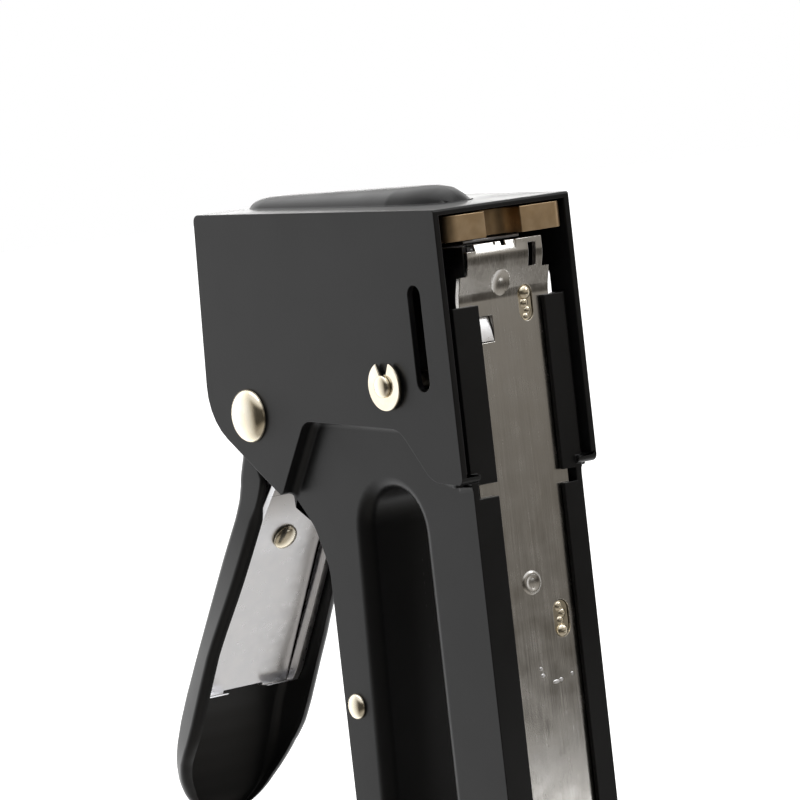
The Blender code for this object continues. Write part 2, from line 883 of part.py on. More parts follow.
def near_curve(point, curve):
    """Whether a mesh point lies on this side-view curve, away from its two ends."""
    flat = Vector((point.x, point.z))
    return min((flat - (a + b) / 2).length for a, b in zip(curve[1:], curve[2:-1])) < 0.3


def web_normal():
    """The outward direction of the lever's back at the handle rivet, in X and Z."""
    curve = web_curve()
    here = Vector(HANDLE_RIVET)
    i = min(range(1, len(curve) - 1), key=lambda k: (curve[k] - here).length)
    ahead = (curve[i + 1] - curve[i - 1]).normalized()
    return Vector((ahead.y, -ahead.x)), curve[i]


def along_web(profile, sides=14):
    """A turned solid through the lever's back at the rivet: (height above the back, radius)."""
    normal, foot = web_normal()
    out = Vector((normal.x, 0.0, normal.y))
    across = Vector((0.0, 1.0, 0.0))
    up = out.cross(across)
    centre = Vector((foot.x, 0.0, foot.y))
    loops = []
    for height, radius in profile:
        ring = []
        for k in range(sides):
            turn = 2 * math.pi * k / sides
            ring.append(centre + out * height + across * radius * math.cos(turn) + up * radius * math.sin(turn))
        loops.append(ring)
    return loft(loops)


def web_hole(name, shop):
    """A cutter through the lever's back for the handle rivet."""
    return shop.helper(name, along_web([(-8.0, WEB_HOLE_RADIUS), (5.0, WEB_HOLE_RADIUS)]))


def handle_rivet(home):
    """Rivet through cover and core, with a flat head outside and a dome inside."""
    shop = Workshop(home, "brass")
    depth = COVER_SHEET + GAP + CORE_SHEET
    profile = [
        (-depth - 1.3, 0.9),
        (-depth - 1.1, 1.9),
        (-depth - GAP, 2.5),
        (-depth - GAP, 1.5),
        (GAP, 1.5),
        (GAP, 3.0),
        (0.8, 2.7),
        (1.0, 1.2),
    ]
    shop.piece("handle_rivet", along_web(profile))


def lever_core(home):
    """Plated channel inside the cover; its two plates run past the pivot as lifting fingers."""
    shop = Workshop(home, "zinc_plate")
    web = [p for p in shifted(web_curve(), COVER_SHEET + GAP) if CORE_END_Z < p.y < 112.5]
    px, pz = PIVOT
    tip_x, tip_z = FINGER_TIP
    turns = [math.radians(180 - 25 * k) for k in range(9)]
    finger = [
        Vector((tip_x + FINGER_RADIUS * math.cos(t), tip_z + FINGER_RADIUS * math.sin(t))) for t in turns
    ]
    back = [(px - 6.0, pz + 3.5), (px - 3.0, pz + 7.0), (px + 4.0, pz + 9.5), (px + 9.6, pz + 15.6)]
    front = [(px + 13.0, pz + 11.5), (px + 7.5, pz + 1.5), (px + 5.5, pz - 5.0), (px + 1.0, pz - 8.5)]
    edge = [(-60.2, 102.4), (-64.6, 97.2), (-73.4, 84.2), (-81.0, 72.8), (-86.2, 64.4), (-91.4, 56.6)]
    outline = [*reversed(web), *back, *finger, *front, *edge]
    core = shop.piece("lever_core", slab(outline, -CORE_HALF, CORE_HALF))
    inner = shifted(web, CORE_SHEET)
    top = inner[0]
    hollow = [
        Vector((-80.0, 150.0)),
        Vector((-80.0, 116.0)),
        Vector((top.x - 4.0, 116.0)),
        top,
        *inner[1:],
        Vector((-88.5, 60.0)),
        Vector((-30.0, 60.0)),
        Vector((-30.0, 150.0)),
    ]
    inside = CORE_HALF - CORE_SHEET
    trough = soften(
        slab(hollow, -inside, inside),
        lambda m: abs(abs(m.y) - inside) < 0.01 and near_curve(m, inner),
        CORE_BEND,
        segments=4,
    )
    cut(core, shop.helper("core_hollow", trough))
    bore = shop.helper("core_bore", slab(circle(*PIVOT, PIVOT_RADIUS + GAP), -14.0, 14.0))
    notch_half, notch_top = CORE_NOTCH
    notch = block((-110.0, -80.0), (-notch_half, notch_half), (CORE_END_Z - 3.0, notch_top))
    cut(core, bore, web_hole("core_rivet_hole", shop), shop.helper("core_notch", notch))


def plunger(home):
    """The hammer: a cup round the mainspring with two lugs that rest over the lever's fingers."""
    shop = Workshop(home, "zinc_plate")
    cup = shop.piece(
        "plunger",
        block((PLUNGER_BACK, PLUNGER_FACE), (-PLUNGER_HALF, PLUNGER_HALF), (137.8, 148.9)),
    )
    lugs = shop.helper(
        "plunger_lugs", block((PLUNGER_BACK + 0.01, LUG_X), (-LUG_HALF, LUG_HALF), (132.5, 141.5))
    )
    join(cup, lugs)
    pocket = shop.helper(
        "spring_pocket", rod(circle(0.0, SPRING_Z, 6.25, 24), PLUNGER_BACK - 2, POCKET_X)
    )
    slot = block(
        (POCKET_X + 0.6, PLUNGER_FACE + 2),
        (-BLADE_HALF - GAP, BLADE_HALF + GAP),
        (BLADE_Z - BLADE_THICK / 2 - 0.15, BLADE_Z + BLADE_THICK / 2 + 0.15),
    )
    hole = bar(circle(BLADE_PIN_X, 0.0, 1.3, 14), 130.0, 160.0)
    cut(cup, pocket, shop.helper("blade_slot", slot), shop.helper("blade_pin_hole", hole))


def driver_blade(home):
    shop = Workshop(home, "spring_steel")
    low, high = BLADE_Z - BLADE_THICK / 2, BLADE_Z + BLADE_THICK / 2
    blade = shop.piece(
        "driver_blade", block((POCKET_X + 0.9, BLADE_TIP_X), (-BLADE_HALF, BLADE_HALF), (low, high))
    )
    cut(blade, shop.helper("blade_hole", bar(circle(BLADE_PIN_X, 0.0, 1.3, 14), 130.0, 160.0)))


def blade_pin(home):
    shop = Workshop(home, "spring_steel")
    shop.piece("blade_pin", bar(circle(BLADE_PIN_X, 0.0, 1.0, 14), 138.4, 148.6))


def staple_rail(home):
    """The drawer's rail: a narrow channel, open towards the strip, that the staples straddle."""
    shop = Workshop(home, "zinc_plate")
    rail = shop.piece(
        "staple_rail", block((RAIL_ROOF, RAIL_FOOT), (-RAIL_HALF, RAIL_HALF), (2.2, 142.4))
    )
    inner = RAIL_HALF - 0.8
    hollow = shop.helper("rail_hollow", block((RAIL_ROOF + 0.8, 0.0), (-inner, inner), (0.0, 145.0)))
    cut(rail, hollow)


def drawer_cap(home):
    """Tail cap of the drawer, with a ribbed pinch wing on each side."""
    shop = Workshop(home, "black_paint")
    cap = shop.piece("drawer_cap", block((-12.5, -2.4), (-9.4, 9.4), (0.4, 1.8)))
    cross = shop.helper("cap_cross", block((-11.8, -4.0), (-12.9, 12.9), (0.41, 1.7)))
    join(cap, cross)
    for side, tag in ((-1, "right"), (1, "left")):
        wing = block((-11.8, -4.0), sorted((side * 11.3, side * 12.9)), (0.42, 9.6))
        join(cap, shop.helper(f"wing_{tag}", wing))
        for i in range(3):
            low = 3.4 + 2.0 * i
            rib = block((-11.4, -4.4), sorted((side * 12.5, side * 13.5)), (low, low + 0.9))
            join(cap, shop.helper(f"rib_{tag}_{i}", rib))
    cut(cap, shop.helper("cap_bore", bar(circle(ROD_X, 0.0, ROD_RADIUS + 0.2, 12), -1.0, 3.0)))


def pusher_rod(home):
    """Guide rod with a small head under the drawer's cap."""
    shop = Workshop(home, "spring_steel")
    shop.piece("pusher_rod", bar(circle(ROD_X, 0.0, ROD_RADIUS, 12), 0.6, 139.0))


def staple_pusher(home):
    """Slider that straddles the rail, guided on the rod by its inner block."""
    shop = Workshop(home, "zinc_plate")
    low, high = PUSHER_BOTTOM, PUSHER_BOTTOM + PUSHER_LENGTH
    outer, inner = STAPLE_HALF + 0.05, RAIL_HALF + 0.25
    outline = [
        (-2.35, -outer),
        (-2.35, outer),
        (-11.4, outer),
        (-11.4, -outer),
    ]
    pusher = shop.piece("staple_pusher", bar(outline, low, high))
    tunnel = rounded(
        [
            (RAIL_FOOT + 0.2, -inner, 0),
            (RAIL_FOOT + 0.2, -RAIL_HALF + 1.1, 0),
            (-9.1, -RAIL_HALF + 1.1, 0),
            (-9.1, RAIL_HALF - 1.1, 0),
            (RAIL_FOOT + 0.2, RAIL_HALF - 1.1, 0),
            (RAIL_FOOT + 0.2, inner, 0),
            (RAIL_ROOF - 0.25, inner, 0),
            (RAIL_ROOF - 0.25, -inner, 0),
        ]
    )
    bore = bar(circle(ROD_X, 0.0, ROD_RADIUS + 0.3, 12), low - 1, high + 1)
    cut(
        pusher,
        shop.helper("pusher_tunnel", bar(tunnel, low - 1, high + 1)),
        shop.helper("pusher_bore", bore),
    )


def clear_scene():
    for old in list(bpy.data.objects):
        bpy.data.objects.remove(old, do_unlink=True)


def build():
    clear_scene()
    frame = empty("frame", -ORIGIN_X, 0.0)
    frame["gun_place"] = (0.0, 0.0, 0.0)
    lever = empty("lever_pivot", *PIVOT, frame)
    driver = empty("driver_line", PLUNGER_FACE, BLADE_Z, frame)
    drawer = empty("drawer_line", ROD_X, 0.0, frame)
    pusher = empty("pusher_line", ROD_X, PUSHER_BOTTOM, drawer)
    pusher.location = Vector((0.0, 0.0, PUSHER_BOTTOM)) * MM

    casing("right_casing", -1, frame)
    casing("left_casing", 1, frame)
    nose_guide(frame)
    magazine_base(frame)
    staple_channel(frame)
    staple_stick(frame)
    spring_seat(frame)
    bumper(frame)
    rivet("pivot_pin", PIVOT, HEAD_HALF + 0.15, PIVOT_RADIUS, 4.8, frame, rise=1.9, sides=28)
    rivet("arm_rivet", ARM_RIVET, REAR_HALF + 0.15, RIVET_RADIUS, 2.3, frame)
    rivet("tail_rivet", TAIL_RIVET, REAR_HALF + 0.15, RIVET_RADIUS, 2.3, frame)
    front_pin(frame)
    front_pin_clip(frame)
    inside = HEAD_HALF - SHEET - GAP
    spacer("pivot_spacer_right", PIVOT, -inside, -COVER_HALF - GAP, 2.9, 4.6, frame)
    spacer("pivot_spacer_left", PIVOT, COVER_HALF + GAP, inside, 2.9, 4.6, frame)
    reach = REAR_HALF - SHEET - GAP
    for name, place in (("arm_spacer", ARM_RIVET), ("tail_spacer", TAIL_RIVET)):
        spacer(name, place, -reach, reach, RIVET_RADIUS + 0.2, RIVET_RADIUS + SPACER_WALL, frame)
    coil(
        "main_spring",
        "spring_steel",
        frame,
        SPRING_RADIUS,
        SPRING_WIRE,
        SPRING_TURNS,
        SEAT_X + SEAT_THICK + GAP + SPRING_WIRE,
        POCKET_X - GAP - SPRING_WIRE,
        "X",
        (0.0, SPRING_Z),
        points=12,
    )
    return_spring(frame)

    handle_cover(lever)
    lever_core(lever)
    handle_rivet(lever)

    plunger(driver)
    driver_blade(driver)
    blade_pin(driver)

    staple_rail(drawer)
    drawer_cap(drawer)
    pusher_rod(drawer)
    coil(
        "pusher_spring",
        "spring_steel",
        drawer,
        2.0,
        0.3,
        14,
        2.6,
        PUSHER_BOTTOM - 0.7,
        "Z",
        (ROD_X, 0.0),
        points=7,
    )
    staple_pusher(pusher)


build()
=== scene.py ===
import json
import math

import bmesh
import bpy
from mathutils import Matrix, Vector
from mathutils.bvhtree import BVHTree

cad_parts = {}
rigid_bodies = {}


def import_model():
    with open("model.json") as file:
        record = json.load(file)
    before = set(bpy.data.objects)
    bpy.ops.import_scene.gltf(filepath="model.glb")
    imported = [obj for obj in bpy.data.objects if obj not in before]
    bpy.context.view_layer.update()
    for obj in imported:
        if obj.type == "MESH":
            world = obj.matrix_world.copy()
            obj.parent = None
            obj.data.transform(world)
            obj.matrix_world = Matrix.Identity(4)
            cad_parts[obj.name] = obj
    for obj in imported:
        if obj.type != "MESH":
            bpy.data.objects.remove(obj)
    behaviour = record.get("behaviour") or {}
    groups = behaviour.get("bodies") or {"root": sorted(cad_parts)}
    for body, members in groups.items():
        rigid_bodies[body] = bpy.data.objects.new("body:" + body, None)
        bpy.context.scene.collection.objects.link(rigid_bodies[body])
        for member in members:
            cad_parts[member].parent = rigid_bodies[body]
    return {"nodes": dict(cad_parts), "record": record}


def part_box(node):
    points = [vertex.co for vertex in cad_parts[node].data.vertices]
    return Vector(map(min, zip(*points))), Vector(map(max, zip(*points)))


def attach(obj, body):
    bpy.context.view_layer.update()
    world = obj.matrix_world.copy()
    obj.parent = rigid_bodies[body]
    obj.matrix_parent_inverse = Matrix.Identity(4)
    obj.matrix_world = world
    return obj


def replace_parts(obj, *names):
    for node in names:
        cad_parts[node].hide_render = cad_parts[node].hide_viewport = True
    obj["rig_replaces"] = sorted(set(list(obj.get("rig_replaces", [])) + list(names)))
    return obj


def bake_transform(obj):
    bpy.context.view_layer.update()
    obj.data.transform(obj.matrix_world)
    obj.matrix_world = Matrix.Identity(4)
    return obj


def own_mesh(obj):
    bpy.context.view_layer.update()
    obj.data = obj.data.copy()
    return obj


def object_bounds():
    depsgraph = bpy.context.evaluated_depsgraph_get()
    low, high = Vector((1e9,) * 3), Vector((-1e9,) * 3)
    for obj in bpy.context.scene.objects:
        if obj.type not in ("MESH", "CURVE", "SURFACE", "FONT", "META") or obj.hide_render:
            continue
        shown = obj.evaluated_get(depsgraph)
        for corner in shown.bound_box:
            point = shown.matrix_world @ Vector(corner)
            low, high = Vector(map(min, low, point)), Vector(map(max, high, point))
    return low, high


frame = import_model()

cad_low, cad_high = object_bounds()
MM = 0.001
scene = bpy.context.scene


# Shader nodes


def node(tree, kind, inputs=None, **properties):
    """Adds a node; an input is a value, or a socket to link."""
    made = tree.nodes.new(kind)
    for key, value in properties.items():
        setattr(made, key, value)
    for key, value in (inputs or {}).items():
        socket = made.inputs[key]
        if isinstance(value, bpy.types.NodeSocket):
            tree.links.new(value, socket)
        else:
            socket.default_value = value
    return made


def noise(tree, size_mm, detail=3.0, stretch=(1, 1, 1), shift=0.0, roughness=0.5):
    """Noise whose features are about size_mm wide, in the piece's own coordinates."""
    place = node(tree, "ShaderNodeTexCoord").outputs["Object"]
    mapped = node(
        tree,
        "ShaderNodeMapping",
        {"Vector": place, "Location": (shift, shift * 1.7, shift * 0.6), "Scale": stretch},
    )
    texture = node(
        tree,
        "ShaderNodeTexNoise",
        {
            "Vector": mapped.outputs["Vector"],
            "Scale": 1.0 / (size_mm * MM),
            "Detail": detail,
            "Roughness": roughness,
        },
    )
    return texture.outputs["Fac"]


def span(tree, value, low, high, to_low=0.0, to_high=1.0):
    """Maps low..high to to_low..to_high, clamped."""
    made = node(
        tree,
        "ShaderNodeMapRange",
        {"Value": value, "From Min": low, "From Max": high, "To Min": to_low, "To Max": to_high},
    )
    return made.outputs["Result"]


def maths(tree, operation, a, b=0.0):
    made = node(tree, "ShaderNodeMath", {0: a, 1: b}, operation=operation)
    return made.outputs["Value"]


def mix(tree, share, a, b):
    made = node(tree, "ShaderNodeMix", data_type="RGBA")
    for index, value in ((0, share), (6, a), (7, b)):
        socket = made.inputs[index]
        if isinstance(value, bpy.types.NodeSocket):
            tree.links.new(value, socket)
        else:
            socket.default_value = value if index == 0 else (*value, 1.0)
    return made.outputs[2]


def edge_share(tree, radius_mm, low=0.02, high=0.25):
    """1 on convex and concave edges sharper than the radius, 0 on flats."""
    rounded_normal = node(tree, "ShaderNodeBevel", {"Radius": radius_mm * MM}, samples=6)
    true_normal = node(tree, "ShaderNodeNewGeometry").outputs["Normal"]
    dot = node(
        tree,
        "ShaderNodeVectorMath",
        {0: rounded_normal.outputs["Normal"], 1: true_normal},
        operation="DOT_PRODUCT",
    ).outputs["Value"]
    return span(tree, dot, 1.0 - low, 1.0 - high)


def bump(tree, height, depth_mm, strength=1.0, onto=None):
    inputs = {"Height": height, "Distance": depth_mm * MM, "Strength": strength}
    if onto is not None:
        inputs["Normal"] = onto
    return node(tree, "ShaderNodeBump", inputs).outputs["Normal"]


def shader(name, constants):
    """A new material; constants go straight on the Principled sockets."""
    made = bpy.data.materials.new(name)
    made.use_nodes = True
    principled = made.node_tree.nodes["Principled BSDF"]
    for key, value in constants.items():
        principled.inputs[key].default_value = value
    return made, made.node_tree, principled


def connect(tree, principled, **sockets):
    for key, value in sockets.items():
        tree.links.new(value, principled.inputs[key.replace("_", " ")])


def enamel():
    """Black stove enamel: soft orange peel, dust-fine grain, thin wear on the sheet edges."""
    made, tree, principled = shader("black_enamel", {"IOR": 1.33, "Metallic": 0.0})
    cloud = noise(tree, 24, 4.0)
    wear_noise = noise(tree, 1.1, 4.0, shift=3.0)
    edge = edge_share(tree, 0.35, 0.05, 0.4)
    worn = maths(tree, "MULTIPLY", edge, span(tree, wear_noise, 0.60, 0.70))
    base = mix(tree, span(tree, cloud, 0.3, 0.7), (0.0030, 0.0030, 0.0031), (0.0048, 0.0047, 0.0049))
    colour = mix(tree, maths(tree, "MULTIPLY", worn, 0.5), base, (0.10, 0.097, 0.093))
    smudge = noise(tree, 9, 5.0, shift=7.0)
    rough = span(tree, smudge, 0.3, 0.75, 0.30, 0.38)
    peel = bump(tree, noise(tree, 0.9, 2.0), 0.006)
    grain = bump(tree, noise(tree, 0.16, 2.0, shift=5.0), 0.0016, onto=peel)
    connect(tree, principled, Base_Color=colour, Roughness=rough, Normal=grain)
    return made


def strip_steel():
    """Plain rolled strip: lines along the gun, warm cast, smudges, and a painted highlight that
    colours every edge paler.
    """
    made, tree, principled = shader("rolled_strip", {"Metallic": 1.0})
    rolling = noise(tree, 0.22, 5.0, stretch=(1, 1, 0.02))
    cloud = noise(tree, 11, 4.0, shift=2.0)
    base = mix(tree, span(tree, cloud, 0.3, 0.7), (0.66, 0.64, 0.605), (0.74, 0.725, 0.70))
    lines = mix(tree, span(tree, rolling, 0.3, 0.7), (0.86, 0.86, 0.86), (1.0, 1.0, 1.0))
    lined = node(tree, "ShaderNodeMix", data_type="RGBA", blend_type="MULTIPLY")
    lined.inputs[0].default_value = 0.7
    tree.links.new(base, lined.inputs[6])
    tree.links.new(lines, lined.inputs[7])
    # Painted highlight: every edge of the strip is coloured paler, standing in for light caught along
    # the edges.
    edge = edge_share(tree, 0.3, 0.03, 0.3)
    colour = mix(tree, maths(tree, "MULTIPLY", edge, 0.6), lined.outputs[2], (0.86, 0.84, 0.80))
    rough = maths(
        tree,
        "ADD",
        span(tree, noise(tree, 4.0, 5.0, shift=4.0), 0.3, 0.7, 0.18, 0.27),
        span(tree, rolling, 0.3, 0.7, -0.03, 0.04),
    )
    first = bump(tree, rolling, 0.0022)
    scratch = noise(tree, 0.5, 3.0, stretch=(1, 1.3, 0.07), shift=9.0)
    second = bump(tree, span(tree, scratch, 0.66, 0.70), 0.002, onto=first)
    connect(tree, principled, Base_Color=colour, Roughness=rough, Normal=second)
    return made


def plated(name, low, high, tint, rough_low, rough_high, grain_mm=0.5, depth=0.002):
    """A plated or drawn metal: faint cloud of colour, handling marks, and a painted highlight that
    colours every edge in the paler tint.
    """
    made, tree, principled = shader(name, {"Metallic": 1.0})
    cloud = noise(tree, 3.5, 4.0)
    base = mix(tree, span(tree, cloud, 0.3, 0.7), low, high)
    # Painted highlight: the edges take the paler tint colour, standing in for light caught on them.
    edge = edge_share(tree, 0.25, 0.03, 0.3)
    colour = mix(tree, maths(tree, "MULTIPLY", edge, 0.5), base, tint)
    rough = span(tree, noise(tree, 1.6, 5.0, shift=4.0), 0.3, 0.7, rough_low, rough_high)
    texture = bump(tree, noise(tree, grain_mm, 4.0, shift=1.0), depth)
    connect(tree, principled, Base_Color=colour, Roughness=rough, Normal=texture)
    return made


def rubber():
    made, tree, principled = shader("black_rubber", {"Metallic": 0.0})
    base = mix(tree, noise(tree, 3.0), (0.012, 0.012, 0.012), (0.022, 0.021, 0.020))
    rough = span(tree, noise(tree, 0.8), 0.3, 0.7, 0.7, 0.9)
    texture = bump(tree, noise(tree, 0.25, 3.0), 0.01)
    connect(tree, principled, Base_Color=base, Roughness=rough, Normal=texture)
    return made


# The third colour of each plated finish is the painted highlight on its edges.
FINISH = {
    "black_paint": enamel(),
    "strip_steel": strip_steel(),
    "zinc_plate": plated(
        "bright_zinc", (0.90, 0.91, 0.94), (0.95, 0.95, 0.97), (0.98, 0.98, 0.99), 0.26, 0.36
    ),
    "bronze": plated(
        "dull_bronze", (0.46, 0.32, 0.18), (0.58, 0.43, 0.27), (0.82, 0.72, 0.56), 0.34, 0.46
    ),
    "brass": plated(
        "pale_brass", (0.82, 0.73, 0.55), (0.91, 0.84, 0.70), (0.98, 0.95, 0.88), 0.16, 0.26
    ),
    "spring_steel": plated(
        "spring_steel", (0.24, 0.24, 0.26), (0.36, 0.36, 0.37), (0.6, 0.6, 0.6), 0.26, 0.38
    ),
    "rubber": rubber(),
}

SLOT_OF = {part["node"]: part["material_slot"] for part in frame["record"]["subparts"]}
BODY_OF = {
    name: body for body, names in frame["record"]["behaviour"]["bodies"].items() for name in names
}


# Measures that the solids don't carry

# Rivets, front pin and its clip
PIN_RADIUS = 1.95 * MM
CLIP_MOUTH = 0.42
RIVET_PROUD = 0.15 * MM
PIVOT_SHANK = 2.6 * MM
ARM_SHANK = 1.3 * MM
BACK_DEPTH = 2.9 * MM
RIVET_SIDE_STEP = 3.6 * MM

# Half shells
CASING_EDGE_MM = 0.18
FOOT_RADIUS_MM = 1.3
HOLLOW_BELOW_PIVOT = 16.0 * MM
FLANGE_DEPTH = 4.0 * MM
FLANGE_CUTS = (5.5 * MM, 11.5 * MM)

# Handle cover, from its neck down to its tip
COVER_SHEET = 1.0 * MM
COVER_CORNER = 2.4 * MM
COVER_LEAST = 0.6 * MM
COVER_LEVELS = 72
COVER_SWELL = 0.9 * MM
COVER_FLARE = 2.4 * MM
COVER_SPOON = 12.0 * MM
FLARE_FADE = 26.0 * MM
NECK_FADE = 5.0 * MM
LIP_ROLL = 0.9 * MM
LIP_FADE = 3.0 * MM
TIP_DEPTH = 1.4 * MM
TIP_ROUND = 16.0 * MM

# Lever core
CORE_EDGE_MM = 0.15
CORE_ROOM = 1.6 * MM
CORE_FLARE_SHARE = 0.6
CORE_END = 6.2 * MM
CORE_END_PRESS = 0.9
CORE_END_LEAN = 0.58

# Springs and staples
COIL_STEPS = 24
STAPLE_WALL = 0.6 * MM
STAPLE_WIRE = 0.5 * MM

# Details of the base strip, all in millimetres
DIMPLE_STEPS = [
    (0.04, 0.05),
    (0.05, 0.7),
    (0.12, 1.0),
    (0.27, 1.3),
    (0.32, 1.6),
    (0.24, 1.85),
    (0.04, 2.1),
    (-0.2, 2.1),
]
TAB_LOW, TAB_HIGH = 16.65, 12.45
TAB_SIDES = (-5.95, -3.15)
BURRS = [
    (-0.9, 73.4, 1.0),
    (-0.6, 74.6, 1.3),
    (2.2, 76.1, 2.2),
    (3.3, 75.9, 1.2),
    (5.9, 75.3, 1.0),
]
FRONT_BOSSES = [
    (0.2, 1.3, 1.0, 0.0),
    (0.5, 0.9, 0.5, -0.2),
    (0.72, 0.75, 0.45, 0.35),
    (0.9, 0.7, 0.4, -0.1),
]
REAR_BOSSES = [
    (0.16, 0.9, 0.5, -0.3),
    (0.36, 0.85, 0.5, 0.3),
    (0.56, 0.8, 0.45, -0.2),
    (0.84, 1.2, 0.9, 0.0),
]


# Pieces


def clamped(value):
    return min(1.0, max(0.0, value))


def quarter(steps):
    """Angles from just above zero to a right angle."""
    return [math.pi / 2 * k / steps for k in range(1, steps + 1)]


def placed(name, mesh, slot, body, *nodes, smooth=32):
    """Puts a mesh in the row frame, in the finish of its slot, on its body unless that is None."""
    made = bpy.data.objects.new(name, mesh)
    scene.collection.objects.link(made)
    mesh.materials.clear()
    mesh.materials.append(FINISH[slot])
    mesh.shade_smooth()
    mesh.set_sharp_from_angle(angle=math.radians(smooth))
    weighted = made.modifiers.new("weighted normals", "WEIGHTED_NORMAL")
    weighted.keep_sharp = True
    weighted.weight = 80
    if body:
        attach(made, body)
    if nodes:
        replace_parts(made, *nodes)
    return made


def cad_copy(name):
    """The CAD node's mesh as a welded bmesh with its flat faces merged."""
    builder = bmesh.new()
    builder.from_mesh(frame["nodes"][name].data)
    bmesh.ops.remove_doubles(builder, verts=builder.verts, dist=2e-7)
    bmesh.ops.dissolve_limit(
        builder,
        angle_limit=math.radians(0.4),
        verts=builder.verts,
        edges=builder.edges,
    )
    return builder


def bevelled(builder, width_mm, segments=2, limit=38):
    """Rounds every edge sharper than the limit."""
    edges = [
        e
        for e in builder.edges
        if len(e.link_faces) == 2
        and e.calc_face_angle() > math.radians(limit)
        and any(abs(v.co.y) > 0.001 * MM for v in e.verts)
    ]
    bmesh.ops.bevel(
        builder,
        geom=edges,
        offset=width_mm * MM,
        segments=segments,
        profile=0.5,
        affect="EDGES",
        clamp_overlap=False,
    )
    return builder


def as_mesh(builder, name):
    mesh = bpy.data.meshes.new(name)
    builder.to_mesh(mesh)
    builder.free()
    return mesh


def refined(name, width_mm):
    """Stands for one CAD node, with its edges rounded."""
    builder = bevelled(cad_copy(name), width_mm)
    placed(f"{name}_look", as_mesh(builder, name), SLOT_OF[name], BODY_OF[name], name)


def smoothed_seam(builder):
    """Closes the hairline between the two shells, which only the solids need."""
    for vertex in builder.verts:
        if abs(vertex.co.y) < 0.2 * MM:
            vertex.co.y = 0.0


def filleted(builder, face_y, above_z, radius_mm):
    """Rounds the hollow corner where the raised head meets the inset body."""
    edges = []
    for edge in builder.edges:
        if len(edge.link_faces) != 2 or edge.is_convex:
            continue
        on_face = all(abs(abs(v.co.y) - face_y) < 0.02 * MM for v in edge.verts)
        if on_face and min(v.co.z for v in edge.verts) > above_z and edge.calc_face_angle() > 0.6:
            edges.append(edge)
    bmesh.ops.bevel(
        builder, geom=edges, offset=radius_mm * MM, segments=6, profile=0.5, affect="EDGES"
    )


def split_flanges(builder, height):
    """Adds an edge across the base flanges at one height, so that no flange face runs past it."""
    faces = [
        face
        for face in builder.faces
        if abs(face.normal.x) > 0.9 and face.calc_center_median().x > cad_high.x - FLANGE_DEPTH
    ]
    edges = dict.fromkeys(edge for face in faces for edge in face.edges)
    verts = dict.fromkeys(vert for face in faces for vert in face.verts)
    bmesh.ops.bisect_plane(
        builder,
        geom=[*verts, *edges, *faces],
        dist=1e-7,
        plane_co=(0, 0, height),
        plane_no=(0, 0, 1),
    )


def casing_look(name):
    """A half shell: soft hollow under the head, closed seam, rolled edges."""
    builder = cad_copy(name)
    pivot_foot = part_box("pivot_pin")[0].z
    smoothed_seam(builder)
    filleted(builder, rear_half, pivot_foot - HOLLOW_BELOW_PIVOT, FOOT_RADIUS_MM)
    for below in FLANGE_CUTS:
        split_flanges(builder, pivot_foot - below)
    bevelled(builder, CASING_EDGE_MM)
    placed(f"{name}_look", as_mesh(builder, name), SLOT_OF[name], BODY_OF[name], name)


def ring_mesh(rings):
    """A closed mesh through rings of equal length."""
    builder = bmesh.new()
    rows = [[builder.verts.new(point) for point in ring] for ring in rings]
    for lower, upper in zip(rows, rows[1:]):
        for i in range(len(lower)):
            builder.faces.new((lower[i - 1], lower[i], upper[i], upper[i - 1]))
    builder.faces.new(rows[0])
    builder.faces.new(list(reversed(rows[-1])))
    bmesh.ops.recalc_face_normals(builder, faces=builder.faces)
    return builder


def turned(profile, centre, axis, sides=56):
    """A turned solid: profile is (along, radius) in metres, along the axis from the centre."""
    axis = Vector(axis).normalized()
    across = axis.orthogonal().normalized()
    up = axis.cross(across)
    turns = [2 * math.pi * k / sides for k in range(sides)]
    return ring_mesh(
        [
            [centre + axis * along + (across * math.cos(t) + up * math.sin(t)) * radius for t in turns]
            for along, radius in profile
        ]
    )


def dome(face, rise, radius, steps=12):
    """A rivet head's (along, radius) profile, from its tip down to its rim."""
    points = [
        (face + rise * math.cos(t), radius * math.sin(t)) for t in (0.03, *quarter(steps))
    ]
    return [*points, (face - 0.1 * MM, radius * 0.98)]


def cross_rivet(name, face, shank):
    """A rivet across the gun, with a smooth dome on each side."""
    low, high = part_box(name)
    centre = Vector(((low.x + high.x) / 2, 0.0, (low.z + high.z) / 2))
    half = dome(face, high.y - face, (high.x - low.x) / 2) + [(face - 0.1 * MM, shank)]
    profile = half + [(-along, radius) for along, radius in reversed(half)]
    mesh = as_mesh(turned(profile, centre, (0, 1, 0)), name)
    placed(f"{name}_look", mesh, SLOT_OF[name], BODY_OF[name], name)


def front_pin_look():
    """Pin with a clip groove and a rounded end on the right, and a low head on the left."""
    low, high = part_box("front_pin")
    clip_low, clip_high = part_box("front_pin_clip")
    centre = Vector(((low.x + high.x) / 2, 0.0, (low.z + high.z) / 2))
    radius = PIN_RADIUS
    profile = [
        (low.y + 0.7 * MM * (1 - math.cos(t)), radius * math.sin(t)) for t in (0.03, *quarter(8))
    ]
    profile += [
        (clip_low.y - 0.12 * MM, radius),
        (clip_low.y - 0.06 * MM, radius - 0.5 * MM),
        (clip_high.y + 0.06 * MM, radius - 0.5 * MM),
        (clip_high.y + 0.12 * MM, radius),
        (head_half + 0.14 * MM, radius),
        (head_half + 0.15 * MM, (high.x - low.x) / 2),
    ]
    cap = dome(head_half + 0.3 * MM, high.y - head_half - 0.3 * MM, (high.x - low.x) / 2)
    profile += list(reversed(cap[:-1]))
    mesh = as_mesh(turned(profile, centre, (0, 1, 0)), "front_pin")
    placed("front_pin_look", mesh, SLOT_OF["front_pin"], BODY_OF["front_pin"], "front_pin")


